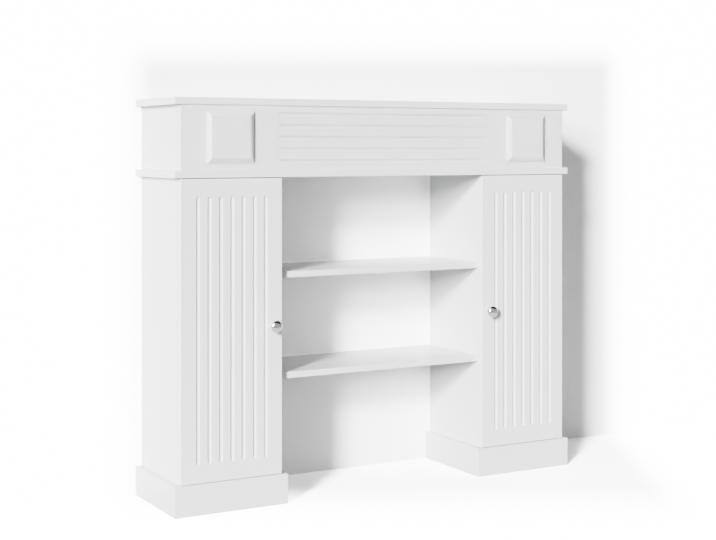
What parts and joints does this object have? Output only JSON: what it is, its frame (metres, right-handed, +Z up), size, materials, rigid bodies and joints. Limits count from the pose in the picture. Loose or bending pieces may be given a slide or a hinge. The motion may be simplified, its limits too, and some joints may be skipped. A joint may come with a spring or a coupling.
{
  "type": "mantelpiece cabinet",
  "caption": "White lacquered mantelpiece with a grooved frieze, fluted pillar doors on plinths, open shelves between them and a hearth bay below.",
  "frame": {"origin": "on the floor, under the middle of the whole object's box, knobs included", "axes": "+X to the right as seen from the front, +Y towards the wall behind, +Z up"},
  "size_m": [1.164, 0.287, 1],
  "materials": {
    "white_lacquer": "satin white lacquer on fibreboard",
    "white_hardboard": "thin hardboard with a matt white face",
    "polished_chrome": "polished chrome plate",
    "pivot_steel": "plain turned steel"
  },
  "bodies": {
    "carcass": {"mantel_top_board": "white_lacquer", "frieze_front": "white_lacquer", "frieze_block_left": "white_lacquer", "frieze_block_right": "white_lacquer", "frieze_end_left": "white_lacquer", "frieze_end_right": "white_lacquer", "lower_board": "white_lacquer", "left_pillar_outer_side": "white_lacquer", "left_pillar_inner_side": "white_lacquer", "left_pillar_base_board": "white_lacquer", "left_pillar_back": "white_hardboard", "left_plinth_front": "white_lacquer", "left_plinth_outer": "white_lacquer", "left_plinth_inner": "white_lacquer", "right_pillar_outer_side": "white_lacquer", "right_pillar_inner_side": "white_lacquer", "right_pillar_base_board": "white_lacquer", "right_pillar_back": "white_hardboard", "right_plinth_front": "white_lacquer", "right_plinth_outer": "white_lacquer", "right_plinth_inner": "white_lacquer", "upper_shelf": "white_lacquer", "lower_shelf": "white_lacquer"},
    "left_door": {"left_door": "white_lacquer", "left_knob": "polished_chrome", "left_pivot_pin_top": "pivot_steel", "left_pivot_pin_bottom": "pivot_steel"},
    "right_door": {"right_door": "white_lacquer", "right_knob": "polished_chrome", "right_pivot_pin_top": "pivot_steel", "right_pivot_pin_bottom": "pivot_steel"}
  },
  "joints": [
    {"name": "left_door_hinge", "type": "hinge", "parent": "carcass", "child": "left_door", "pos_m": [-0.56, -0.1125, 0.4405], "axis": [0, 0, -1], "range_deg": [0, 105]},
    {"name": "right_door_hinge", "type": "hinge", "parent": "carcass", "child": "right_door", "pos_m": [0.56, -0.1125, 0.4405], "axis": [0, 0, 1], "range_deg": [0, 105]}
  ]
}
